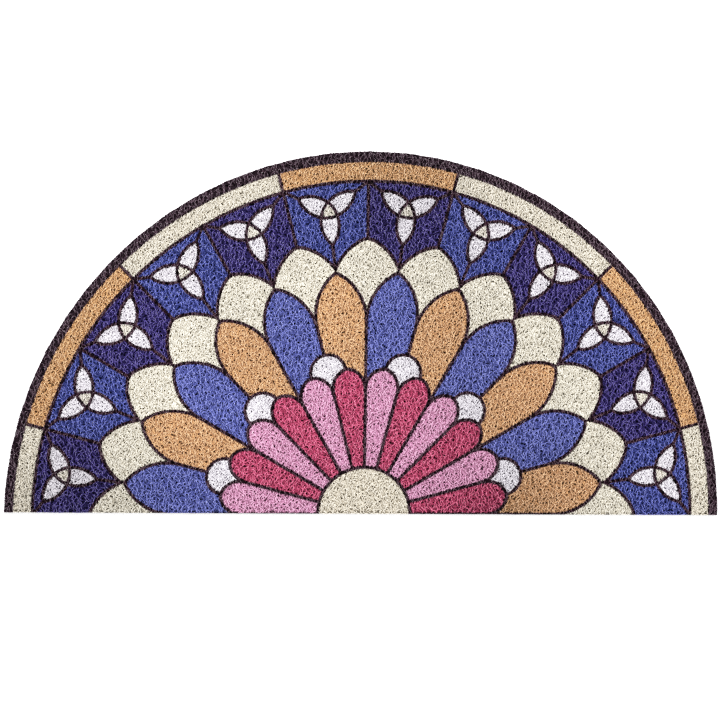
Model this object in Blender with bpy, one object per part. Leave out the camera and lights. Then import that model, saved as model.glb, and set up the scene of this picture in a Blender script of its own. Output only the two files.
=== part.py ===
"""Half-round doormat of curled vinyl thread, lying flat.

Metres, +Z up. The origin is under the middle of the mat's box, on the floor.
+X runs along the straight edge, which lies at the -Y side, and the curved
edge faces +Y. The mat is one cut piece, so it is one solid: a flat underside,
upright cut walls, a softened top rim and a slightly uneven top.
"""

import math

import bmesh
import bpy
from mathutils import Vector

# The curved edge is close to a half circle, but the mat lies a little out of
# true: its half circle is an ellipse whose long axis leans to the right.
LONG_RADIUS = 0.4633
SHORT_RADIUS = 0.4479
LONG_AXIS_LEAN = math.radians(68.8)
ARC_CENTRE_BELOW_EDGE = 0.0037

# The pile's height with its backing, and the softening of the top rim.
THICKNESS = 0.010
RIM_SOFTENING = 0.0025
RIM_STEPS = 2

# The edge was cut through springy threads, so it wanders a little.
ARC_STEPS = 132
STRAIGHT_STEPS = 64
EDGE_WANDER = 0.00025
EDGE_WAVES = (31, 53)

# The pile's top rises and falls softly from place to place.
TOP_GRID = 0.030
TOP_RISE = 0.0003
TOP_WAVE_LENGTHS = ((0.190, 0.0), (0.125, 55.0), (0.083, 118.0))

VINYL_COLOUR = (0.20, 0.17, 0.24, 1.0)
VINYL_ROUGHNESS = 0.62


def clear_scene() -> None:
    """Removes every object of the scene that Blender starts with."""
    for thing in list(bpy.data.objects):
        bpy.data.objects.remove(thing, do_unlink=True)


def curve_radius(angle: float) -> float:
    """Gives the ellipse's radius in a direction from its own centre."""
    lean = angle - LONG_AXIS_LEAN
    return 1.0 / math.hypot(math.cos(lean) / LONG_RADIUS, math.sin(lean) / SHORT_RADIUS)


def wander(share: float) -> float:
    """Gives how far the cut strays outward at a share of the edge's length."""
    first, second = EDGE_WAVES
    turn = math.tau * share
    return EDGE_WANDER * (math.sin(first * turn) + 0.6 * math.sin(second * turn + 1.3))


def arc_points() -> list[Vector]:
    """Lists the curved edge's points from the right corner round to the left one."""
    start = math.asin(ARC_CENTRE_BELOW_EDGE / curve_radius(0.0))
    end = math.pi - math.asin(ARC_CENTRE_BELOW_EDGE / curve_radius(math.pi))
    points = []
    for step in range(ARC_STEPS + 1):
        share = step / ARC_STEPS
        angle = start + (end - start) * share
        radius = curve_radius(angle)
        if 0 < step < ARC_STEPS:
            radius += wander(share)
        height = radius * math.sin(angle) - ARC_CENTRE_BELOW_EDGE
        points.append(Vector((radius * math.cos(angle), height, 0.0)))
    return points


def straight_points(left: Vector, right: Vector) -> list[Vector]:
    """Lists the straight edge's points between its two corners, left to right."""
    points = []
    for step in range(1, STRAIGHT_STEPS):
        share = step / STRAIGHT_STEPS
        point = left.lerp(right, share)
        point.y = left.y - wander(share)
        points.append(point)
    return points


def outline() -> list[Vector]:
    """Lists the whole cut edge counter-clockwise, centred on the origin."""
    arc = arc_points()
    points = arc + straight_points(arc[-1], arc[0])
    lows = [min(point[axis] for point in points) for axis in (0, 1)]
    highs = [max(point[axis] for point in points) for axis in (0, 1)]
    middle = Vector(((lows[0] + highs[0]) / 2, (lows[1] + highs[1]) / 2, 0.0))
    return [point - middle for point in points]


def top_rise(x: float, y: float) -> float:
    """Gives how far the pile's top stands above or below its mean height."""
    total = 0.0
    for length, heading in TOP_WAVE_LENGTHS:
        along = x * math.cos(math.radians(heading)) + y * math.sin(math.radians(heading))
        total += math.sin(math.tau * along / length + heading)
    return TOP_RISE * total / len(TOP_WAVE_LENGTHS)


def soften_rim(mesh: bmesh.types.BMesh) -> None:
    """Rounds the edges where the upright walls meet the top."""
    rim = [edge for edge in mesh.edges if all(vert.co.z > THICKNESS / 2 for vert in edge.verts)]
    bmesh.ops.bevel(
        mesh, geom=rim, offset=RIM_SOFTENING, offset_type="OFFSET", segments=RIM_STEPS,
        profile=0.5, affect="EDGES",
    )


def grid_the_top(mesh: bmesh.types.BMesh) -> None:
    """Cuts the flat top into squares, so that it can rise and fall."""
    steps = math.ceil(LONG_RADIUS / TOP_GRID)
    for normal in (Vector((1, 0, 0)), Vector((0, 1, 0))):
        for step in range(-steps, steps + 1):
            top = [face for face in mesh.faces if face.normal.z > 0.999]
            parts = set(top)
            for face in top:
                parts.update(face.verts)
                parts.update(face.edges)
            # Half a square aside, so that no cut passes through a corner of the rim.
            place = normal * (step + 0.5) * TOP_GRID
            bmesh.ops.bisect_plane(mesh, geom=list(parts), dist=1e-6, plane_co=place, plane_no=normal)
            mesh.normal_update()


def lift_the_top(mesh: bmesh.types.BMesh) -> None:
    """Moves the top's inner points up and down, and leaves the rim as it is."""
    level = THICKNESS - 1e-5
    for vert in mesh.verts:
        if vert.co.z > level and all(face.normal.z > 0.999 for face in vert.link_faces):
            vert.co.z = THICKNESS - TOP_RISE + top_rise(vert.co.x, vert.co.y)


def vinyl() -> bpy.types.Material:
    """Makes the plain material of the mat's threads."""
    material = bpy.data.materials.new("printed_vinyl")
    material.use_nodes = True
    shader = material.node_tree.nodes["Principled BSDF"]
    shader.inputs["Base Color"].default_value = VINYL_COLOUR
    shader.inputs["Roughness"].default_value = VINYL_ROUGHNESS
    shader.inputs["Metallic"].default_value = 0.0
    return material


def build_mat() -> bpy.types.Object:
    """Builds the mat as one closed solid with its underside on the floor."""
    mesh = bmesh.new()
    floor_ring = [mesh.verts.new(point) for point in outline()]
    underside = mesh.faces.new(reversed(floor_ring))
    raised = bmesh.ops.extrude_face_region(mesh, geom=[underside], use_keep_orig=True)
    lifted = [part for part in raised["geom"] if isinstance(part, bmesh.types.BMVert)]
    bmesh.ops.translate(mesh, verts=lifted, vec=(0.0, 0.0, THICKNESS))
    bmesh.ops.recalc_face_normals(mesh, faces=mesh.faces)
    soften_rim(mesh)
    mesh.normal_update()
    grid_the_top(mesh)
    lift_the_top(mesh)
    bmesh.ops.triangulate(mesh, faces=mesh.faces)
    bmesh.ops.recalc_face_normals(mesh, faces=mesh.faces)
    data = bpy.data.meshes.new("mat")
    mesh.to_mesh(data)
    mesh.free()
    data.materials.append(vinyl())
    data.shade_smooth()
    data.set_sharp_from_angle(angle=math.radians(40))
    mat = bpy.data.objects.new("mat", data)
    bpy.context.scene.collection.objects.link(mat)
    return mat


clear_scene()
build_mat()
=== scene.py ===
"""Half-round doormat of curled vinyl thread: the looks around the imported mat.

Metres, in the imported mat's own frame: +X runs along the straight edge, +Y from
the straight edge towards the curved one, and +Z is up from the floor.
"""

from __future__ import annotations

import logging
import math
from dataclasses import dataclass
from enum import Enum

import bpy
import numpy as np
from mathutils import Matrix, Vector
from mathutils.geometry import delaunay_2d_cdt

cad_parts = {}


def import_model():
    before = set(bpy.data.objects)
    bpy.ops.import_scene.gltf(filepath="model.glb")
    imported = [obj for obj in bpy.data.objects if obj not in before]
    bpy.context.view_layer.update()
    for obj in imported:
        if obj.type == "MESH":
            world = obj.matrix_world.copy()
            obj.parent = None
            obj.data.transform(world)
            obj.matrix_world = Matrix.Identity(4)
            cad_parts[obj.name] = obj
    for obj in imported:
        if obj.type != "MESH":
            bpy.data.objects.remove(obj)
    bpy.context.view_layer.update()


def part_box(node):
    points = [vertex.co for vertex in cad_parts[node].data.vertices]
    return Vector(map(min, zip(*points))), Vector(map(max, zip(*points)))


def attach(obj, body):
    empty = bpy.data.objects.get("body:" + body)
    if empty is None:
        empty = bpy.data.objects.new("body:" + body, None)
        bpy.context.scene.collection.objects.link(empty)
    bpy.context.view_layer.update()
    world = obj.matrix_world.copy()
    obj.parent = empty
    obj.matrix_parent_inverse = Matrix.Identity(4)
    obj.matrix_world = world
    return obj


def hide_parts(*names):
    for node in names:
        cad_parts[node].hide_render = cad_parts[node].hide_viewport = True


LOG = logging.getLogger("doormat")
MAT_NODE = "mat"
PHOTO_PIXELS = 720
SAME_PLACE = 1e-7
SHARP_ANGLE = math.radians(50)
RIDGE_TURNS = (math.pi / 2, math.pi * 7 / 6, math.pi * 11 / 6)
ALL_CHANNELS = 3
WHITE = (1.0, 1.0, 1.0, 1.0)

Socket = bpy.types.NodeSocket
Colour = tuple[float, float, float, float]
ColourSource = Colour | Socket


class Shade(Enum):
    """The colours of the print's inks, from 0 to 255."""

    OUTER_BAND = (58, 41, 51)
    LEAD_LINE = (49, 25, 37)
    RING_CREAM = (183, 176, 162)
    RING_ORANGE = (172, 134, 97)
    ROYAL_BLUE = (65, 72, 133)
    VIOLET = (55, 46, 102)
    LOBE_WHITE = (190, 186, 192)
    KNOT_CREAM = (184, 178, 167)
    PETAL_CREAM = (188, 182, 168)
    PETAL_BLUE = (86, 92, 151)
    PETAL_ORANGE = (176, 137, 102)
    PETAL_CRIMSON = (166, 70, 100)
    PETAL_PINK = (182, 131, 158)
    DISC_CREAM = (186, 178, 163)

    def linear(self) -> Colour:
        """Gives the colour as a shader takes it."""
        return (*(linear_light(part / 255) for part in self.value), 1.0)


def linear_light(shown: float) -> float:
    """Turns a shown brightness from 0 to 1 into linear light."""
    return shown / 12.92 if shown <= 0.04045 else ((shown + 0.055) / 1.055) ** 2.4


class Value:
    """A number socket whose arithmetic adds Math nodes."""

    def __init__(self, nodes: Nodes, socket: Socket) -> None:
        """Keeps the tree's helper and the socket."""
        self.nodes = nodes
        self.socket = socket

    def math(self, operation: str, *others: Value | float, first: float | None = None) -> Value:
        """Adds one Math node.

        Args:
            operation: Blender's name of the operation.
            others: what comes after this value.
            first: a number that comes before this value.

        Returns:
            The node's result.
        """
        terms = ([] if first is None else [first]) + [self, *others]
        node = self.nodes.add("ShaderNodeMath", {"operation": operation}, dict(enumerate(terms)))
        return Value(self.nodes, node.outputs[0])

    def __add__(self, other: Value | float) -> Value:
        """Adds."""
        return self.math("ADD", other)

    __radd__ = __add__

    def __sub__(self, other: Value | float) -> Value:
        """Subtracts."""
        return self.math("SUBTRACT", other)

    def __rsub__(self, other: float) -> Value:
        """Subtracts this value from a number."""
        return self.math("SUBTRACT", first=other)

    def __mul__(self, other: Value | float) -> Value:
        """Multiplies."""
        return self.math("MULTIPLY", other)

    __rmul__ = __mul__

    def __truediv__(self, other: Value | float) -> Value:
        """Divides."""
        return self.math("DIVIDE", other)

    def __rtruediv__(self, other: float) -> Value:
        """Divides a number by this value."""
        return self.math("DIVIDE", first=other)

    def __neg__(self) -> Value:
        """Turns the sign."""
        return self * -1.0

    def __abs__(self) -> Value:
        """Drops the sign."""
        return self.math("ABSOLUTE")

    def root(self) -> Value:
        """Gives the square root."""
        return self.math("SQRT")

    def floor(self) -> Value:
        """Gives the whole number below."""
        return self.math("FLOOR")

    def lowest(self, other: Value | float) -> Value:
        """Gives the lower of two."""
        return self.math("MINIMUM", other)

    def highest(self, other: Value | float) -> Value:
        """Gives the higher of two."""
        return self.math("MAXIMUM", other)

    def above(self, limit: Value | float) -> Value:
        """Gives 1 above a limit and 0 elsewhere."""
        return self.math("GREATER_THAN", limit)

    def within(self, low: float, high: float) -> Value:
        """Keeps the value between two numbers."""
        return self.highest(low).lowest(high)

    def ramp(self, low: float, high: float) -> Value:
        """Gives 0 at low and 1 at high, and runs straight between them."""
        return ((self - low) / (high - low)).within(0.0, 1.0)


class Nodes:
    """Adds nodes to one material."""

    def __init__(self, name: str) -> None:
        """Makes an empty material.

        Args:
            name: the material's name.
        """
        self.material = bpy.data.materials.new(name)
        self.material.use_nodes = True
        self.tree = self.material.node_tree
        self.tree.nodes.clear()

    def add(
        self, kind: str, settings: dict | None = None, sockets: dict | None = None
    ) -> bpy.types.Node:
        """Adds one node.

        Args:
            kind: Blender's name of the node's type.
            settings: the node's own settings.
            sockets: values or links, by socket name or number.

        Returns:
            The node.
        """
        node = self.tree.nodes.new(kind)
        for name, setting in (settings or {}).items():
            setattr(node, name, setting)
        for name, given in (sockets or {}).items():
            source = given.socket if isinstance(given, Value) else given
            if isinstance(source, Socket):
                self.tree.links.new(source, node.inputs[name])
            else:
                node.inputs[name].default_value = source
        return node

    def number(self, node: bpy.types.Node, output: str | int = 0) -> Value:
        """Wraps a node's number output."""
        return Value(self, node.outputs[output])

    def place(self) -> Socket:
        """Gives the point on the mat that is shaded."""
        return self.add("ShaderNodeTexCoord").outputs["Object"]

    def coordinates(self) -> tuple[Value, Value, Value]:
        """Gives that point's x, y and z."""
        parts = self.add("ShaderNodeSeparateXYZ", None, {0: self.place()})
        return self.number(parts, 0), self.number(parts, 1), self.number(parts, 2)

    def blend(self, share: Value | float, under: ColourSource, over: ColourSource) -> Socket:
        """Mixes two colours by how much of the upper one shows, from 0 to 1."""
        return self.add("ShaderNodeMix", {"data_type": "RGBA"}, {0: share, 6: under, 7: over}).outputs[2]

    def noise(self, scale: float, detail: float = 2.0) -> Value:
        """Gives soft noise from 0 to 1 with about `scale` lumps in a metre."""
        sockets = {"Vector": self.place(), "Scale": scale, "Detail": detail}
        return self.number(self.add("ShaderNodeTexNoise", None, sockets), "Fac")

    def brightness(self, colour: ColourSource) -> Value:
        """Gives a colour's brightness."""
        return self.number(self.add("ShaderNodeRGBToBW", None, {0: colour}))

    def scaled(self, colour: ColourSource, share: Value | float) -> Socket:
        """Multiplies a colour by a number."""
        sockets = {0: colour, "Scale": share}
        return self.add("ShaderNodeVectorMath", {"operation": "SCALE"}, sockets).outputs[0]

    def finish(self, sockets: dict) -> bpy.types.Material:
        """Adds the shader and the output.

        Args:
            sockets: the shader's values or links, by socket name.

        Returns:
            The material.
        """
        shader = self.add("ShaderNodeBsdfPrincipled", None, sockets)
        self.add("ShaderNodeOutputMaterial", None, {"Surface": shader.outputs[0]})
        return self.material


@dataclass(frozen=True)
class PrintPlace:
    """How the print lies on the mat, a little out of true."""

    straight_edge_y: float
    shift_x: float = -0.0041
    across: float = 1.0171
    lean: float = -0.0112
    bow: float = 0.020
    shift_y: float = -0.0006
    tilt: float = -0.0044
    sag: float = 0.006
    up: float = 1.0037
    bleed: float = 0.0011
    bleed_scale: float = 420.0

    def on_print(self, nodes: Nodes) -> tuple[Value, Value]:
        """Gives the print's own coordinates of the shaded point.

        Args:
            nodes: the material's nodes.

        Returns:
            The distances to the right of the rosette's centre and above it.
        """
        x, y, _ = nodes.coordinates()
        y = y - self.straight_edge_y
        sockets = {"Vector": nodes.place(), "Scale": self.bleed_scale, "Detail": 1.0}
        bleeding = nodes.add("ShaderNodeTexNoise", None, sockets)
        strays = nodes.add("ShaderNodeSeparateColor", None, {0: bleeding.outputs["Color"]})
        right = self.shift_x + x * self.across + y * self.lean + x * x * self.bow
        above = self.shift_y + x * self.tilt + x * x * self.sag + y * self.up
        stray_x = (nodes.number(strays, 0) - 0.5) * 2 * self.bleed
        stray_y = (nodes.number(strays, 1) - 0.5) * 2 * self.bleed
        return right + stray_x, above + stray_y


@dataclass(frozen=True)
class Petal:
    """A petal between two rays: straight sides, then two arcs up to a soft tip."""

    arc_radius: float
    straight_up_to: float
    tip_softness: float

    def distance(self, along: Value, aside: Value, half_angle: float) -> Value:
        """Gives the distance to the petal's outline, negative inside it.

        Args:
            along: the distance from the rosette's centre along the petal's axis.
            aside: the distance from that axis.
            half_angle: half the angle between the two rays.

        Returns:
            The signed distance.
        """
        sine, cosine = math.sin(half_angle), math.cos(half_angle)
        centre_aside = self.straight_up_to * sine - self.arc_radius * cosine
        centre_along = self.straight_up_to * cosine + self.arc_radius * sine
        soft = (aside * aside + self.tip_softness**2).root() - centre_aside
        ahead = along - centre_along
        arc = (soft * soft + ahead * ahead).root() - self.arc_radius
        ray = abs(aside) * cosine - along * sine
        past = (abs(aside) - centre_aside) * sine + ahead * cosine
        is_past = past.above(0.0)
        return arc * is_past + ray * (1 - is_past)


@dataclass(frozen=True)
class Rosette:
    """The printed rose window: its motifs and how they are laid over each other."""

    cells: int = 12
    line_width: float = 0.0044
    line_softness: float = 0.0011
    disc_radius: float = 0.0592
    inner_petal: Petal = Petal(0.0260, 0.1585, 0.0039)
    cap_radius: float = 0.0226
    cap_reach: float = 0.1851
    middle_petal: Petal = Petal(0.0688, 0.2433, 0.0022)
    cream_arc_radius: float = 0.0734
    cream_arc_aside: float = 0.0274
    cream_arc_reach: float = 0.2828
    cream_softness: float = 0.0049
    cream_from: float = 0.235
    knot_reach: float = 0.3858
    lobe_tip: float = 0.0423
    lobe_back: float = 0.0124
    lobe_half_width: float = 0.0114
    ring_inside: float = 0.4213
    ring_outside: float = 0.4452
    lowest_ray: float = 0.0063

    def half_cell(self) -> float:
        """Gives half of one cell's angle."""
        return math.pi / self.cells / 2

    def paint(self, nodes: Nodes, x: Value, y: Value) -> Socket:
        """Paints the rosette.

        Args:
            nodes: the material's nodes.
            x: the print's coordinate to the right of the centre.
            y: the print's coordinate above the centre.

        Returns:
            The print's colour.
        """
        brush = Brush(nodes, self.line_width / 2, self.line_softness, Shade.OUTER_BAND)
        radius = (x * x + y * y).root()
        turn = y.math("ARCTAN2", x) / (2 * self.half_cell())
        cell = Fold(turn, radius, self.half_cell())
        between = Fold(turn + 0.5, radius, self.half_cell())
        pair = Fold(turn / 2, radius, 2 * self.half_cell())
        around = Fold(turn / 2 + 0.5, radius, 2 * self.half_cell())
        self.paint_ring(brush, radius, pair, around)
        self.paint_knots(brush, radius, y, cell)
        self.paint_cream_petals(brush, between)
        middle = self.middle_petal.distance(cell.along, cell.aside, self.half_cell())
        brush.bordered(middle, brush.either(cell, Shade.PETAL_ORANGE, Shade.PETAL_BLUE))
        ahead = pair.along - self.cap_reach
        cap = (ahead * ahead + pair.aside * pair.aside).root() - self.cap_radius
        brush.bordered(cap, Shade.LOBE_WHITE.linear())
        inner = self.inner_petal.distance(cell.along, cell.aside, self.half_cell())
        brush.bordered(inner, brush.either(cell, Shade.PETAL_CRIMSON, Shade.PETAL_PINK))
        brush.bordered(radius - self.disc_radius, Shade.DISC_CREAM.linear())
        return brush.colour

    def paint_ring(self, brush: Brush, radius: Value, pair: Fold, around: Fold) -> None:
        """Paints the ring of cream and orange lengths with a line between them.

        Args:
            brush: what paints.
            radius: the distance from the rosette's centre.
            pair: a pair of cells, folded onto the ray between them.
            around: the next pair, which begins on that ray.
        """
        outside = radius - self.ring_outside
        brush.fill(outside, brush.either(around, Shade.RING_CREAM, Shade.RING_ORANGE))
        brush.fill((abs(pair.aside) - brush.half_line).highest(outside), Shade.LEAD_LINE.linear())
        brush.fill(radius - self.ring_inside - brush.half_line, Shade.LEAD_LINE.linear())

    def paint_knots(self, brush: Brush, radius: Value, y: Value, cell: Fold) -> None:
        """Paints the blue cells with a three-lobed knot and its three stems in each.

        Args:
            brush: what paints.
            radius: the distance from the rosette's centre.
            y: the print's coordinate above the centre.
            cell: one cell folded onto its axis.
        """
        half = self.half_cell()
        ray = abs(cell.aside) * math.cos(half) - cell.along * math.sin(half)
        near_cut = 1 - y.above(self.lowest_ray)
        field = (radius - self.ring_inside).highest(ray - near_cut) + brush.half_line
        brush.fill(field, brush.either(cell, Shade.ROYAL_BLUE, Shade.VIOLET))
        middle = (self.lobe_tip - self.lobe_back) / 2
        length = (self.lobe_tip + self.lobe_back) / 2
        arc_radius = (length**2 + self.lobe_half_width**2) / (2 * self.lobe_half_width)
        ahead = cell.along - self.knot_reach
        lobes = []
        for heading in (math.pi, math.pi / 3, -math.pi / 3):
            along = ahead * math.cos(heading) + cell.aside * math.sin(heading)
            aside = abs(cell.aside * math.cos(heading) - ahead * math.sin(heading))
            stem = (aside - brush.half_line).highest(self.lobe_tip - brush.half_line - along)
            brush.fill(stem.highest(radius - self.ring_inside), Shade.LEAD_LINE.linear())
            out, over = along - middle, aside + (arc_radius - self.lobe_half_width)
            lobes.append((out * out + over * over).root() - arc_radius)
        nearest = lobes[0].lowest(lobes[1]).lowest(lobes[2])
        farthest = lobes[0].highest(lobes[1]).highest(lobes[2])
        outlines = brush.half_line - abs(lobes[0]).lowest(abs(lobes[1])).lowest(abs(lobes[2]))
        brush.fill(nearest - brush.half_line, Shade.LEAD_LINE.linear())
        brush.fill(nearest.highest(outlines), Shade.LOBE_WHITE.linear())
        brush.fill(farthest.highest(outlines), Shade.KNOT_CREAM.linear())

    def paint_cream_petals(self, brush: Brush, between: Fold) -> None:
        """Paints the cream petals that stand between the middle petals.

        Args:
            brush: what paints.
            between: a cell's width, folded onto a ray between two cells.
        """
        soft = (between.aside * between.aside + self.cream_softness**2).root() + self.cream_arc_aside
        ahead = between.along - self.cream_arc_reach
        arc = (soft * soft + ahead * ahead).root() - self.cream_arc_radius
        brush.bordered(arc.highest(self.cream_from - between.along), Shade.PETAL_CREAM.linear())


@dataclass(frozen=True)
class PaintedLightPatch:
    """A soft patch of painted light where the print is paler or, below zero, of painted shade where it
    is darker.
    """

    x: float
    y: float
    reach_x: float
    reach_y: float
    change: float

    def at(self, x: Value, y: Value) -> Value:
        """Gives the change at a point of the mat."""
        across, along = (x - self.x) / self.reach_x, (y - self.y) / self.reach_y
        return (-(across * across + along * along)).math("EXPONENT") * self.change


@dataclass(frozen=True)
class Print:
    """The whole print: the rosette as it lies on the mat, with ink that varies a little at random, and
    soft patches of painted light and shade.
    """

    place: PrintPlace
    rosette: Rosette = Rosette()
    # Soft patches of painted light and shade across the mat.
    light_and_shade_patches: tuple[PaintedLightPatch, ...] = (
        PaintedLightPatch(0.139, -0.085, 0.057, 0.252, -0.08),
        PaintedLightPatch(0.378, -0.110, 0.088, 0.139, 0.08),
        PaintedLightPatch(-0.170, -0.110, 0.095, 0.069, 0.12),
        PaintedLightPatch(0.030, 0.180, 0.101, 0.080, -0.20),
        PaintedLightPatch(-0.258, -0.010, 0.060, 0.070, 0.10),
        PaintedLightPatch(-0.372, -0.217, 0.113, 0.069, -0.22),
        PaintedLightPatch(0.177, -0.230, 0.076, 0.044, -0.27),
        PaintedLightPatch(0.353, 0.079, 0.076, 0.076, 0.16),
        PaintedLightPatch(-0.038, 0.040, 0.035, 0.140, 0.08),
        PaintedLightPatch(0.250, -0.170, 0.060, 0.060, -0.10),
    )
    cloud_scale: float = 60.0
    cloud_depth: float = 0.10

    def colour(self, nodes: Nodes) -> Socket:
        """Paints the print.

        Args:
            nodes: the material's nodes.

        Returns:
            Its colour at the shaded point.
        """
        x, y, _ = nodes.coordinates()
        strength = 1 + (nodes.noise(self.cloud_scale) - 0.5) * (2 * self.cloud_depth)
        # Soft patches of painted light and shade make the print paler or darker in places.
        for patch in self.light_and_shade_patches:
            strength = strength + patch.at(x, y)
        return nodes.scaled(self.rosette.paint(nodes, *self.place.on_print(nodes)), strength)


class Fold:
    """One cell of a ring of equal cells, folded onto its own axis."""

    def __init__(self, turn: Value, radius: Value, half_angle: float) -> None:
        """Folds the angle.

        Args:
            turn: the angle counted in cells.
            radius: the distance from the rosette's centre.
            half_angle: half a cell's angle.
        """
        whole = turn.floor()
        angle = (turn - whole - 0.5) * (2 * half_angle)
        self.along = radius * angle.math("COSINE")
        self.aside = radius * -angle.math("SINE")
        self.odd = (whole / 2 - (whole / 2).floor()) * 2


class Brush:
    """Lays one colour over another inside signed distances."""

    def __init__(self, nodes: Nodes, half_line: float, softness: float, ground: Shade) -> None:
        """Starts with the ground colour all over.

        Args:
            nodes: the material's nodes.
            half_line: half the width of a dark line.
            softness: how wide an edge between two inks is.
            ground: the first ink.
        """
        self.nodes = nodes
        self.half_line = half_line
        self.softness = softness
        self.colour: ColourSource = ground.linear()

    def fill(self, distance: Value, colour: ColourSource) -> None:
        """Covers what lies inside a signed distance."""
        share = (0.5 - distance / self.softness).within(0.0, 1.0)
        self.colour = self.nodes.blend(share, self.colour, colour)

    def bordered(self, distance: Value, colour: ColourSource) -> None:
        """Covers a shape with a dark line round it."""
        self.fill(distance - self.half_line, Shade.LEAD_LINE.linear())
        self.fill(distance + self.half_line, colour)

    def either(self, fold: Fold, even: Shade, odd: Shade) -> Socket:
        """Gives one colour in even cells and another in odd ones."""
        return self.nodes.blend(fold.odd, even.linear(), odd.linear())


@dataclass(frozen=True)
class PrintedThread:
    """The finish of the curled threads on top: printed vinyl with a faint, uneven sheen."""

    design: Print
    roughness: float = 0.34
    wear: float = 0.05
    wear_scale: float = 35.0
    dark_ink: float = 0.10
    dark_ink_roughness: float = 0.07
    gloss: float = 0.38

    def material(self) -> bpy.types.Material:
        """Makes the material.

        Returns:
            Printed vinyl, a little duller where it is worn and where the ink is dark.
        """
        nodes = Nodes("printed_thread")
        colour = self.design.colour(nodes)
        worn = (nodes.noise(self.wear_scale) - 0.5) * (2 * self.wear)
        dark = 1 - nodes.brightness(colour).ramp(0.0, self.dark_ink)
        roughness = self.roughness + worn + dark * self.dark_ink_roughness
        return nodes.finish(
            {"Base Color": colour, "Roughness": roughness, "Specular IOR Level": self.gloss}
        )


@dataclass(frozen=True)
class Deepening:
    """Painted shade: how ink darkens where less light gets to it; a scale above 1 also lightens pale
    inks, painted light that stands in for light filling the gaps.

    Attributes:
        depth: how much more dark ink loses than pale ink; 1 is no more.
        richness: how much of that goes by single channels, which also makes the ink purer.
        share: what white is scaled by.
        limit: the most that any ink is scaled by.
    """

    depth: float
    richness: float
    share: float
    limit: float = 1.5

    def of(self, nodes: Nodes, ink: Socket) -> Socket:
        """Darkens an ink.

        Args:
            nodes: the material's nodes.
            ink: its colour.

        Returns:
            The darkened colour.
        """
        rich = nodes.add("ShaderNodeGamma", None, {"Color": ink, "Gamma": self.richness})
        factor = nodes.brightness(ink).math("POWER", self.depth - self.richness) * self.share
        return nodes.scaled(rich.outputs[0], factor.lowest(self.limit))


@dataclass(frozen=True)
class PrintedLowerThread:
    """The finish of the threads' lower part: print that fades further down and into thin seams between
    the threads, partly ink that reaches less far and partly painted shade.
    """

    design: Print
    top: float
    bottom: float
    roughness: float = 0.7
    gloss: float = 0.05
    # Painted shade on dark inks and painted light on pale ones, then deeper painted shade in the gaps.
    shaded: Deepening = Deepening(1.6, 1.15, 1.94)
    gap: Deepening = Deepening(5.0, 1.7, 8.0)
    dark_from: float = 0.3
    seam_scale: float = 420.0
    seam_width: float = 0.12
    seam_depth: float = 0.4
    bump: float = 0.001

    def material(self) -> bpy.types.Material:
        """Makes the material.

        Returns:
            Dull printed vinyl with painted shade, darker further down and in thin seams between the
            threads.
        """
        nodes = Nodes("printed_lower_thread")
        colour = self.design.colour(nodes)
        _, _, z = nodes.coordinates()
        # Painted shade, together with ink that reaches less far: darker with depth below the top and in
        # the seams between threads.
        depth = (self.top - z) / (self.top - self.bottom)
        sockets = {"Vector": nodes.place(), "Scale": self.seam_scale}
        cells = nodes.add("ShaderNodeTexVoronoi", {"feature": "DISTANCE_TO_EDGE"}, sockets)
        seam = 1 - nodes.number(cells, "Distance").ramp(0.0, self.seam_width)
        painted_shade = depth.ramp(0.0, self.dark_from).highest(seam * self.seam_depth)
        shown = nodes.blend(painted_shade, self.shaded.of(nodes, colour), self.gap.of(nodes, colour))
        bump = nodes.add("ShaderNodeBump", None, {"Distance": self.bump, "Height": 1 - seam})
        return nodes.finish(
            {"Base Color": shown, "Roughness": self.roughness, "Specular IOR Level": self.gloss,
             "Normal": bump.outputs[0]}
        )


@dataclass(frozen=True)
class DarkBacking:
    """The finish of the underside: plain dark vinyl with a fine grain."""

    colour: Colour = (0.020, 0.018, 0.021, 1.0)
    grain_colour: Colour = (0.035, 0.032, 0.036, 1.0)
    grain_share: float = 0.5
    grain_scale: float = 900.0
    grain_detail: float = 3.0
    grain_height: float = 0.0004
    grain_strength: float = 0.4
    roughness: float = 0.55

    def material(self) -> bpy.types.Material:
        """Makes the material.

        Returns:
            Dark vinyl with a slightly paler, raised grain.
        """
        nodes = Nodes("dark_backing")
        grain = nodes.noise(self.grain_scale, self.grain_detail)
        tint = nodes.blend(grain * self.grain_share, self.colour, self.grain_colour)
        sockets = {"Strength": self.grain_strength, "Distance": self.grain_height, "Height": grain}
        bump = nodes.add("ShaderNodeBump", None, sockets)
        return nodes.finish({"Base Color": tint, "Roughness": self.roughness, "Normal": bump.outputs[0]})


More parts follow.
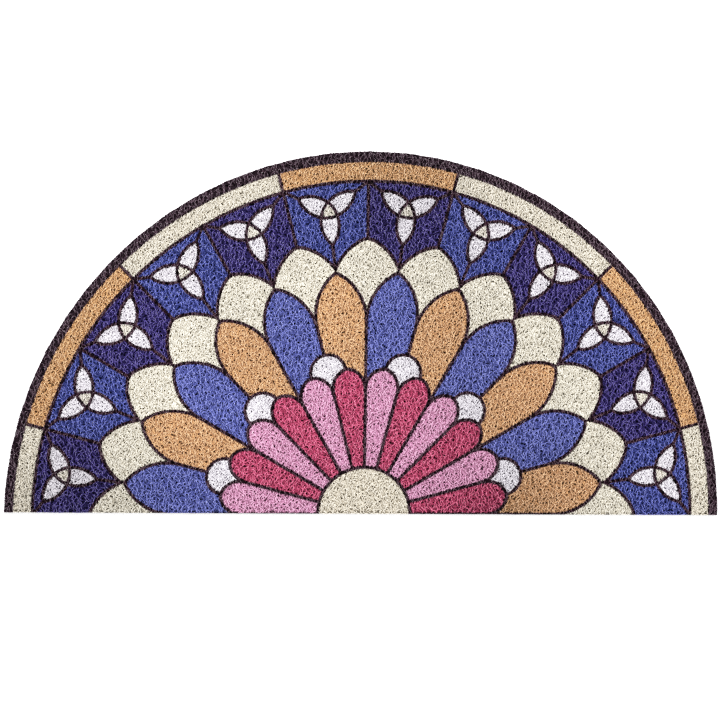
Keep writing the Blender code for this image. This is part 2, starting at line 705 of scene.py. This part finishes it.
class Outline:
    """The mat's cut edge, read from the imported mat's underside."""

    ARC_SAMPLES = 721
    RING_ARC_STEPS = 256
    RING_STRAIGHT_STEPS = 164
    UNDERSIDE_DEPTH = 1e-5
    STRAIGHT_EDGE_BAND = 0.002
    STRAIGHT_EDGE_TRIM = 0.0007

    def __init__(self, node: str) -> None:
        """Reads the edge.

        Args:
            node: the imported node's name.
        """
        low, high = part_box(node)
        self.low, self.high = Vector(low), Vector(high)
        mesh = bpy.data.objects[node].data
        points = np.empty(len(mesh.vertices) * 3)
        mesh.vertices.foreach_get("co", points)
        points = points.reshape(-1, 3)
        under = points[points[:, 2] < self.low.z + self.UNDERSIDE_DEPTH]
        is_straight = under[:, 1] < self.low.y + self.STRAIGHT_EDGE_BAND
        straight = under[is_straight]
        straight = straight[np.argsort(straight[:, 0])]
        self.base_x, self.base_y = straight[:, 0], straight[:, 1] + self.STRAIGHT_EDGE_TRIM
        curved = np.concatenate([under[~is_straight], straight[[0, -1]]])
        angles = np.arctan2(curved[:, 1] - self.low.y, curved[:, 0])
        order = np.argsort(angles)
        self.angles = angles[order]
        self.radii = np.hypot(curved[:, 0], curved[:, 1] - self.low.y)[order]
        turned = np.linspace(0.0, math.pi, self.ARC_SAMPLES)
        rays = np.stack([np.cos(turned), np.sin(turned)], 1)
        arc = self.reach(turned)[:, None] * rays + (0.0, self.low.y)
        base_x = np.linspace(arc[-1, 0], arc[0, 0], self.ARC_SAMPLES)
        base = np.stack([base_x, self.base(base_x)], 1)
        self.edge = np.concatenate([arc, base])
        self.ways = np.concatenate([[0.0], np.cumsum(np.hypot(*np.diff(self.edge, axis=0).T))])

    @property
    def length(self) -> float:
        """Gives the way right round the edge."""
        return self.ways[-1]

    def at(self, way: np.ndarray) -> np.ndarray:
        """Gives points on the edge, by the way to them from the right corner, counter-clockwise."""
        around = np.mod(way, self.length)
        return np.stack([np.interp(around, self.ways, self.edge[:, axis]) for axis in (0, 1)], -1)

    def reach(self, angle: np.ndarray) -> np.ndarray:
        """Gives the curved edge's distance from the straight edge's middle."""
        return np.interp(angle, self.angles, self.radii)

    def base(self, x: np.ndarray) -> np.ndarray:
        """Gives how far up the straight edge lies, which isn't quite straight."""
        return np.interp(x, self.base_x, self.base_y)

    def overhang(self, points: np.ndarray, margin: float) -> np.ndarray:
        """Gives how far points lie outside the edge, drawn in by a margin.

        Args:
            points: rows of x and y.
            margin: how far the edge is drawn in.

        Returns:
            One distance for each point, negative inside.
        """
        above = points[:, 1] - self.low.y
        radius = np.hypot(points[:, 0], above)
        beyond = radius - self.reach(np.arctan2(np.maximum(above, 0.0), points[:, 0])) + margin
        return np.maximum(beyond, self.base(points[:, 0]) + margin - points[:, 1])

    def pulled_in(self, points: np.ndarray, margin: float | np.ndarray) -> np.ndarray:
        """Moves points that lie outside the edge, drawn in by a margin, onto it.

        Args:
            points: rows of x and y.
            margin: how far the edge is drawn in, for all points or for each.

        Returns:
            The points, moved where they had to be.
        """
        above = np.maximum(points[:, 1], self.base(points[:, 0]) + margin) - self.low.y
        radius = np.hypot(points[:, 0], above)
        share = np.minimum(1.0, (self.reach(np.arctan2(above, points[:, 0])) - margin) / radius)
        x, y = points[:, 0] * share, self.low.y + above * share
        return np.stack([x, np.maximum(y, self.base(x) + margin)], 1)

    def ring(self, margin: float = 0.0) -> np.ndarray:
        """Lists points round the edge, drawn in by a margin.

        Args:
            margin: how far inside the edge.

        Returns:
            One row of x and y for each point, counter-clockwise from the right corner.
        """
        left_corner = self.ways[self.ARC_SAMPLES - 1]
        arc = np.linspace(0.0, left_corner, self.RING_ARC_STEPS, endpoint=False)
        straight = np.linspace(left_corner, self.length, self.RING_STRAIGHT_STEPS, endpoint=False)
        return self.pulled_in(self.at(np.concatenate([arc, straight])), margin)


def tubes(name: str, paths: np.ndarray, radius: float) -> bpy.types.Mesh:
    """Makes closed three-sided tubes with a ridge on top along equally long paths.

    Args:
        name: the mesh's name.
        paths: the paths' points, as an array of paths, steps and coordinates.
        radius: the distance from a tube's middle to its three ridges.

    Returns:
        The mesh.
    """
    count, steps, _ = paths.shape
    ahead = np.gradient(paths, axis=1)
    ahead /= np.linalg.norm(ahead, axis=2, keepdims=True)
    side = np.cross(ahead, [0.0, 0.0, 1.0])
    side /= np.maximum(np.linalg.norm(side, axis=2, keepdims=True), SAME_PLACE)
    upward = np.cross(side, ahead)
    ridges = [paths + radius * (math.cos(turn) * side + math.sin(turn) * upward) for turn in RIDGE_TURNS]
    points = np.stack(ridges, 2).reshape(-1, 3)
    index = np.arange(count * steps * 3).reshape(count, steps, 3)
    after = np.roll(index, -1, axis=2)
    walls = np.stack([index[:, :-1], index[:, 1:], after[:, 1:], after[:, :-1]], 3).reshape(-1, 4)
    ends = np.concatenate([index[:, 0], index[:, -1, ::-1]])
    return mesh_from(name, points, [walls, ends])


def mesh_from(name: str, points: np.ndarray, face_groups: list[np.ndarray]) -> bpy.types.Mesh:
    """Makes a smooth mesh.

    Args:
        name: the mesh's name.
        points: one row for each point.
        face_groups: arrays of faces, each with one row of point numbers for each face.

    Returns:
        The mesh.
    """
    corners = np.concatenate([group.ravel() for group in face_groups])
    sizes = np.concatenate([np.full(len(group), group.shape[1]) for group in face_groups])
    starts = np.concatenate([[0], np.cumsum(sizes)[:-1]])
    mesh = bpy.data.meshes.new(name)
    mesh.vertices.add(len(points))
    mesh.vertices.foreach_set("co", points.ravel().astype(np.float32))
    mesh.loops.add(len(corners))
    mesh.loops.foreach_set("vertex_index", corners.astype(np.int32))
    mesh.polygons.add(len(sizes))
    mesh.polygons.foreach_set("loop_start", starts.astype(np.int32))
    mesh.update(calc_edges=True)
    mesh.shade_smooth()
    return mesh


def walls_between(upper: np.ndarray, lower: np.ndarray) -> np.ndarray:
    """Lists the faces between two closed rings of points, by the points' numbers."""
    return np.stack([upper, lower, np.roll(lower, -1), np.roll(upper, -1)], 1)


def lay_flat_map(mesh: bpy.types.Mesh) -> None:
    """Gives a mesh the map for its baked colours, laid out as seen from above.

    Args:
        mesh: the mesh.
    """
    corners = np.empty(len(mesh.loops), dtype=np.int32)
    mesh.loops.foreach_get("vertex_index", corners)
    points = np.empty(len(mesh.vertices) * 3, dtype=np.float32)
    mesh.vertices.foreach_get("co", points)
    flat = points.reshape(-1, 3)[corners, :2]
    spread = (flat - flat.min(axis=0)) / (flat.max(axis=0) - flat.min(axis=0))
    mesh.uv_layers.new(name="OFBake").data.foreach_set("uv", spread.astype(np.float32).ravel())


def add_object(name: str, data: bpy.types.ID) -> bpy.types.Object:
    """Puts an object into the scene.

    Args:
        name: the object's name.
        data: its mesh, light or camera.

    Returns:
        The object.
    """
    added = bpy.data.objects.new(name, data)
    bpy.context.scene.collection.objects.link(added)
    return added


def add_piece(name: str, mesh: bpy.types.Mesh, finish: bpy.types.Material) -> bpy.types.Object:
    """Puts a mesh into the scene as a piece of the mat.

    Args:
        name: the piece's name.
        mesh: its mesh.
        finish: its finish.

    Returns:
        The piece.
    """
    piece = add_object(name, mesh)
    mesh.materials.append(finish)
    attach(piece, "root")
    LOG.info("%s: %d faces", name, len(mesh.polygons))
    return piece


@dataclass
class Gaps:
    """Small open places between the threads: real pits, with painted shade on their floors from the
    lower threads' finish.
    """

    outline: Outline
    spacing: float = 0.0056
    jitter: float = 0.50
    narrowest: float = 0.0004
    widest: float = 0.0012
    stretch: float = 2.1
    heading_spread: float = 0.6
    rim_steps: int = 5
    beyond: int = 2
    seed: int = 3

    def __post_init__(self) -> None:
        """Scatters the gaps in jittered rows, some way past the mat's edge."""
        rng = np.random.default_rng(self.seed)
        low, high = self.outline.low, self.outline.high
        self.rise = self.spacing * math.sqrt(3) / 2
        self.corner = np.array([low.x - self.beyond * self.spacing, low.y - self.beyond * self.rise])
        columns = math.ceil((high.x - low.x) / self.spacing) + 2 * self.beyond + 1
        rows = math.ceil((high.y - low.y) / self.rise) + 2 * self.beyond + 1
        row, column = np.mgrid[0:rows, 0:columns]
        centres = np.stack([(column + row % 2 / 2) * self.spacing, row * self.rise], 2) + self.corner
        self.centres = centres + rng.uniform(-1, 1, centres.shape) * self.spacing * self.jitter
        self.widths = rng.uniform(self.narrowest, self.widest, (rows, columns))
        heading = math.pi / 2 + self.heading_spread * rng.standard_normal((rows, columns))
        self.along = np.stack([np.cos(heading), np.sin(heading)], 2)

    def nearest(self, points: np.ndarray, clearance: float) -> tuple[np.ndarray, np.ndarray]:
        """Finds how deep points lie in the gap nearest to them.

        Args:
            points: rows of x and y.
            clearance: how much wider than they are the gaps count.

        Returns:
            For each point a number, 0 in a gap's middle and 1 on its rim, and the way out to the rim.
        """
        row = np.rint((points[:, 1] - self.corner[1]) / self.rise).astype(int)
        closest = np.full(len(points), np.inf)
        way_out = np.zeros_like(points)
        for row_step in (-1, 0, 1):
            near_row = np.clip(row + row_step, 0, self.widths.shape[0] - 1)
            column = (points[:, 0] - self.corner[0]) / self.spacing - near_row % 2 / 2
            column = np.rint(column).astype(int)
            for column_step in (-1, 0, 1):
                near_column = np.clip(column + column_step, 0, self.widths.shape[1] - 1)
                away = points - self.centres[near_row, near_column]
                along = self.along[near_row, near_column]
                half = self.widths[near_row, near_column]
                ahead = (away * along).sum(axis=1) / (half * self.stretch + clearance)
                aside = (away[:, 1] * along[:, 0] - away[:, 0] * along[:, 1]) / (half + clearance)
                depth = np.hypot(ahead, aside)
                out = away / np.maximum(np.hypot(*away.T), SAME_PLACE)[:, None]
                out *= ((1 - depth) * (half + clearance))[:, None]
                nearer = depth < closest
                closest = np.where(nearer, depth, closest)
                way_out = np.where(nearer[:, None], out, way_out)
        return closest, way_out

    def dimples(self, margin: float) -> tuple[np.ndarray, np.ndarray]:
        """Lists the gaps that lie on the mat.

        Args:
            margin: how far inside the edge the gaps' middles stay.

        Returns:
            The middles, and the rims' points as an array of gaps, steps and coordinates.
        """
        centres, along = self.centres.reshape(-1, 2), self.along.reshape(-1, 2)
        half = self.widths.ravel()
        inside = self.outline.overhang(centres, margin) < 0.0
        centres, along, half = centres[inside], along[inside], half[inside]
        turned = np.linspace(0.0, 2 * math.pi, self.rim_steps, endpoint=False)[None, :, None]
        across = np.stack([-along[:, 1], along[:, 0]], 1)
        rim = np.cos(turned) * along[:, None] * self.stretch + np.sin(turned) * across[:, None]
        return centres, centres[:, None] + rim * half[:, None, None]


@dataclass
class Backing:
    """The thin sheet that the threads stand on."""

    outline: Outline
    thickness: float = 0.0012
    inset: float = 0.0002

    @property
    def top(self) -> float:
        """Gives the height of the sheet's upper side."""
        return self.outline.low.z + self.thickness

    def build(self, finish: bpy.types.Material) -> bpy.types.Object:
        """Builds the sheet.

        Args:
            finish: the sheet's finish.

        Returns:
            The piece.
        """
        edge = self.outline.ring(self.inset)
        steps = len(edge)
        levels = [np.column_stack([edge, np.full(steps, z)]) for z in (self.top, self.outline.low.z)]
        above = np.arange(steps)
        below = above + steps
        faces = [above[None], walls_between(above, below), below[::-1][None]]
        mesh = mesh_from("backing", np.concatenate(levels), faces)
        mesh.set_sharp_from_angle(angle=SHARP_ANGLE)
        return add_piece("backing", mesh, finish)


@dataclass
class LowerThreads:
    """The threads' matted lower part on the backing, as one block with the gaps sunk into it."""

    outline: Outline
    gaps: Gaps
    bottom: float
    height: float = 0.0060
    floor_clearance: float = 0.0002
    gap_margin: float = 0.0040

    @property
    def top(self) -> float:
        """Gives the height of the block's upper side."""
        return self.outline.low.z + self.height

    @property
    def gap_floor(self) -> float:
        """Gives the height of the gaps' bottoms."""
        return self.bottom + self.floor_clearance

    def build(self, finish: bpy.types.Material) -> bpy.types.Object:
        """Builds the block.

        Args:
            finish: the threads' finish down here.

        Returns:
            The piece.
        """
        edge = self.outline.ring()
        steps = len(edge)
        middles, rims = self.gaps.dimples(self.gap_margin)
        flat = np.concatenate([edge, rims.reshape(-1, 2), middles])
        around = [(step, (step + 1) % steps) for step in range(steps)]
        corners = [Vector(point) for point in flat.tolist()]
        points, _, faces, sources, _, _ = delaunay_2d_cdt(corners, around, [], 1, SAME_PLACE, True)
        first_middle = len(flat) - len(middles)
        sunk = np.array([any(source >= first_middle for source in given) for given in sources])
        heights = np.where(sunk, self.gap_floor, self.top)
        upper = np.column_stack([np.array([tuple(point) for point in points]), heights])
        lower = np.column_stack([edge, np.full(steps, self.bottom)])
        above = np.arange(steps)
        below = above + len(upper)
        groups = [np.array(faces), walls_between(above, below), below[::-1][None]]
        mesh = mesh_from("lower_threads", np.concatenate([upper, lower]), groups)
        mesh.set_sharp_from_angle(angle=SHARP_ANGLE)
        lay_flat_map(mesh)
        return add_piece("lower_threads", mesh, finish)


@dataclass
class Curls:
    """Short curled lengths of thread that rise from the lower ones, arch over and dive again."""

    outline: Outline
    gaps: Gaps
    thread_radius: float = 0.00074
    steps: int = 6
    length: float = 0.0092
    bend_radius: float = 0.0040
    bend_uneven: float = 0.45
    s_bend_share: float = 0.3
    s_bend_turn: float = 0.9
    spread: float = 0.0035
    jitter: float = 0.35
    clearance: float = 0.0005
    edge_margin: float = 0.0005
    deepest: float = 0.7
    shifts: int = 3
    arch_top: float = 0.0086
    arch_uneven: float = 0.0006
    arch_foot: float = 0.0052
    arch_power: float = 3.0
    arch_lean: float = 0.3
    heading_spread: float = 0.45
    seed: int = 7

    def sites(self, rng: np.random.Generator) -> np.ndarray:
        """Scatters the curls' middles evenly over the mat.

        Args:
            rng: the source of random numbers.

        Returns:
            One row of x and y for each curl, sorted from the straight edge upwards.
        """
        low, high = self.outline.low, self.outline.high
        rise = self.spread * math.sqrt(3) / 2
        rows = np.arange(low.y, high.y + rise, rise)
        columns = np.arange(low.x - self.spread, high.x + self.spread, self.spread)
        x, y = np.meshgrid(columns, rows)
        x = x + (np.arange(len(rows)) % 2)[:, None] * self.spread / 2
        sites = np.stack([x.ravel(), y.ravel()], 1)
        sites += rng.uniform(-1, 1, sites.shape) * self.spread * self.jitter
        sites = sites[self.outline.overhang(sites, self.thread_radius) < 0.0]
        return sites[np.argsort(sites[:, 1])]

    def paths(self, sites: np.ndarray, rng: np.random.Generator) -> np.ndarray:
        """Bends one curl over each site.

        Args:
            sites: the curls' middles.
            rng: the source of random numbers.

        Returns:
            The curls' points, as an array of curls, steps and coordinates.
        """
        count = len(sites)
        share = np.linspace(-0.5, 0.5, self.steps)
        bend = self.length / self.bend_radius * (1 + self.bend_uneven * rng.uniform(-1, 1, (count, 1)))
        bend *= rng.choice((-1.0, 1.0), (count, 1))
        s_bent = rng.random((count, 1)) < self.s_bend_share
        turn = bend * np.where(s_bent, np.abs(share) * self.s_bend_turn, share)
        heading = math.pi / 2 + self.heading_spread * rng.standard_normal((count, 1)) + turn
        stride = self.length / (self.steps - 1)
        walk = np.cumsum(np.stack([np.cos(heading), np.sin(heading)], 2), axis=1) * stride
        walk += (sites - walk.mean(axis=1))[:, None]
        walk = self.clear_of_gaps(walk)
        count = len(walk)
        flat = self.outline.pulled_in(walk.reshape(-1, 2), self.edge_margin).reshape(walk.shape)
        top = self.arch_top + self.arch_uneven * rng.uniform(-1, 1, (count, 1))
        lean = rng.uniform(-self.arch_lean, self.arch_lean, (count, 1))
        arch = 1 - np.abs(2 * (share + lean * (0.25 - share * share))) ** self.arch_power
        height = self.arch_foot + (top - self.arch_foot) * arch
        return np.concatenate([flat, height[:, :, None]], 2)

    def clear_of_gaps(self, walk: np.ndarray) -> np.ndarray:
        """Shifts whole curls out of the gaps and drops those that still cross one.

        Args:
            walk: the curls' points seen from above, as an array of curls, steps and coordinates.

        Returns:
            The same for the curls that are left.
        """
        for _ in range(self.shifts + 1):
            depth, way_out = self.gaps.nearest(walk.reshape(-1, 2), self.clearance)
            depth = depth.reshape(walk.shape[:2])
            worst = depth.argmin(axis=1)
            each = np.arange(len(walk))
            blocked = depth[each, worst] < 1.0
            shift = way_out.reshape(walk.shape)[each, worst]
            walk = walk + np.where(blocked[:, None], shift, 0.0)[:, None]
        return walk[depth[each, worst] > self.deepest]


@dataclass
class EdgeCurls:
    """Short curled lengths of thread that run along the cut edge, one above another."""

    outline: Outline
    count: int = 1500
    thread_radius: float = 0.00074
    steps: int = 6
    length: float = 0.0092
    shortest: float = 0.6
    lowest: float = 0.0012
    highest: float = 0.0074
    wave: float = 0.0014
    wave_turns: tuple[float, float] = (3.0, 8.0)
    inset: float = 0.0003
    dive: float = 0.0007
    dive_power: int = 3
    seed: int = 11

    def paths(self) -> np.ndarray:
        """Bends the curls along the edge.

        Returns:
            The curls' points, as an array of curls, steps and coordinates.
        """
        rng = np.random.default_rng(self.seed)
        share = np.linspace(-0.5, 0.5, self.steps)
        middle = (np.arange(self.count) + rng.uniform(-0.5, 0.5, self.count)) / self.count
        length = self.length * rng.uniform(self.shortest, 1.0, (self.count, 1))
        way = middle[:, None] * self.outline.length + share * length
        turns = rng.uniform(*self.wave_turns, (self.count, 1))
        wave = self.wave * np.sin(share * turns + rng.uniform(0.0, 2 * math.pi, (self.count, 1)))
        level = rng.uniform(self.lowest, self.highest, (self.count, 1)) + wave
        level = np.maximum(level, self.thread_radius)
        margin = np.tile(self.inset + self.dive * np.abs(2 * share) ** self.dive_power, self.count)
        flat = self.outline.pulled_in(self.outline.at(way.ravel()), margin)
        return np.concatenate([flat.reshape(*way.shape, 2), self.outline.low.z + level[:, :, None]], 2)


@dataclass
class ThreadPile:
    """The curled threads: strips of curls on the lower threads, and curls round the edge."""

    curls: Curls
    edge_curls: EdgeCurls
    pieces: int = 5

    def build(self, finish: bpy.types.Material) -> list[bpy.types.Object]:
        """Builds the pile.

        Args:
            finish: the threads' finish.

        Returns:
            The strips, from the straight edge to the top of the curve, and the edge's curls.
        """
        rng = np.random.default_rng(self.curls.seed)
        paths = self.curls.paths(self.curls.sites(rng), rng)
        LOG.info("%d curls", len(paths))
        strips = {f"pile_{n}": strip for n, strip in enumerate(np.array_split(paths, self.pieces), 1)}
        built = []
        for name, strip in (strips | {"pile_edge": self.edge_curls.paths()}).items():
            mesh = tubes(name, strip, self.curls.thread_radius)
            lay_flat_map(mesh)
            built.append(add_piece(name, mesh, finish))
        return built


@dataclass(frozen=True)
class Lamp:
    """One square light that faces the mat."""

    name: str
    place: tuple[float, float, float]
    size: float
    watts: float

    def build(self) -> None:
        """Builds the light."""
        data = bpy.data.lights.new(self.name, "AREA")
        data.size = self.size
        data.energy = self.watts
        light = add_object(self.name, data)
        light.location = self.place
        light.rotation_euler = Vector(self.place).to_track_quat("Z", "Y").to_euler()


@dataclass
class Studio:
    """A white floor, soft light and the camera straight above."""

    outline: Outline
    metres_per_pixel: float = 0.0012607
    aim: tuple[float, float] = (-0.0013, -0.0343)
    measured_height: float = 0.0065
    roll: float = math.radians(0.221)
    lens: float = 100.0
    sensor: float = 36.0
    floor_size: float = 6.0
    floor_below: float = 0.0002
    floor_shade: Colour = (0.93, 0.93, 0.93, 1.0)
    floor_roughness: float = 0.9
    floor_glow: float = 0.6
    lamps: tuple[Lamp, ...] = (
        Lamp("key", (-0.35, 0.85, 1.8), 0.6, 95.0),
        Lamp("right", (1.5, 0.5, 1.7), 1.0, 40.0),
        Lamp("near", (0.0, -1.6, 1.8), 1.0, 30.0),
    )
    room_light: float = 0.20
    full_white: float = 1.3
    shoulder: tuple[tuple[float, float], ...] = ((0.25, 0.25), (0.5, 0.5), (0.8, 0.745), (1.0, 0.87))

    def build_floor(self) -> None:
        """Builds the floor."""
        half = self.floor_size / 2
        z = self.outline.low.z - self.floor_below
        corners = np.array([[-half, -half, z], [half, -half, z], [half, half, z], [-half, half, z]])
        mesh = mesh_from("floor", corners, [np.array([[0, 1, 2, 3]])])
        finish = {"Base Color": self.floor_shade, "Roughness": self.floor_roughness}
        glow = {"Emission Color": self.floor_shade, "Emission Strength": self.floor_glow}
        mesh.materials.append(Nodes("white_floor").finish(finish | glow))
        add_object("floor", mesh)

    def build_lights(self) -> None:
        """Builds the lamps and the even light of the room."""
        for lamp in self.lamps:
            lamp.build()
        world = bpy.data.worlds.new("room")
        world.use_nodes = True
        background = world.node_tree.nodes["Background"]
        background.inputs["Color"].default_value = WHITE
        background.inputs["Strength"].default_value = self.room_light
        bpy.context.scene.world = world

    def build_camera(self) -> None:
        """Builds the camera with the photograph's framing."""
        data = bpy.data.cameras.new("camera")
        data.lens = self.lens
        data.sensor_width = self.sensor
        shown = PHOTO_PIXELS * self.metres_per_pixel
        distance = shown * self.lens / self.sensor
        camera = add_object("camera", data)
        camera.location = (*self.aim, self.outline.low.z + self.measured_height + distance)
        camera.rotation_euler = (0.0, 0.0, self.roll)
        bpy.context.scene.camera = camera

    def soften_highlights(self) -> None:
        """Rolls the brightest light off softly towards white, as a camera does."""
        view = bpy.context.scene.view_settings
        view.view_transform = "Standard"
        view.use_curve_mapping = True
        view.curve_mapping.white_level = (self.full_white,) * 3
        curve = view.curve_mapping.curves[ALL_CHANNELS]
        for light, shown in self.shoulder:
            curve.points.new(light / self.full_white, shown)
        view.curve_mapping.update()

    def build(self) -> None:
        """Builds the whole studio."""
        self.build_floor()
        self.build_lights()
        self.build_camera()
        self.soften_highlights()
        bpy.context.scene.cycles.use_denoising = False


def main() -> None:
    """Builds the mat's looks and the studio."""
    logging.basicConfig(level=logging.INFO, format="%(name)s: %(message)s")
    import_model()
    outline = Outline(MAT_NODE)
    Studio(outline).build()
    design = Print(PrintPlace(outline.low.y))
    gaps = Gaps(outline)
    backing = Backing(outline)
    lower = LowerThreads(outline, gaps, backing.top)
    sheet = backing.build(DarkBacking().material())
    threads = [lower.build(PrintedLowerThread(design, lower.top, lower.gap_floor).material())]
    pile = ThreadPile(Curls(outline, gaps), EdgeCurls(outline))
    threads += pile.build(PrintedThread(design).material())
    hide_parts(MAT_NODE)


if __name__ == "__main__":
    main()
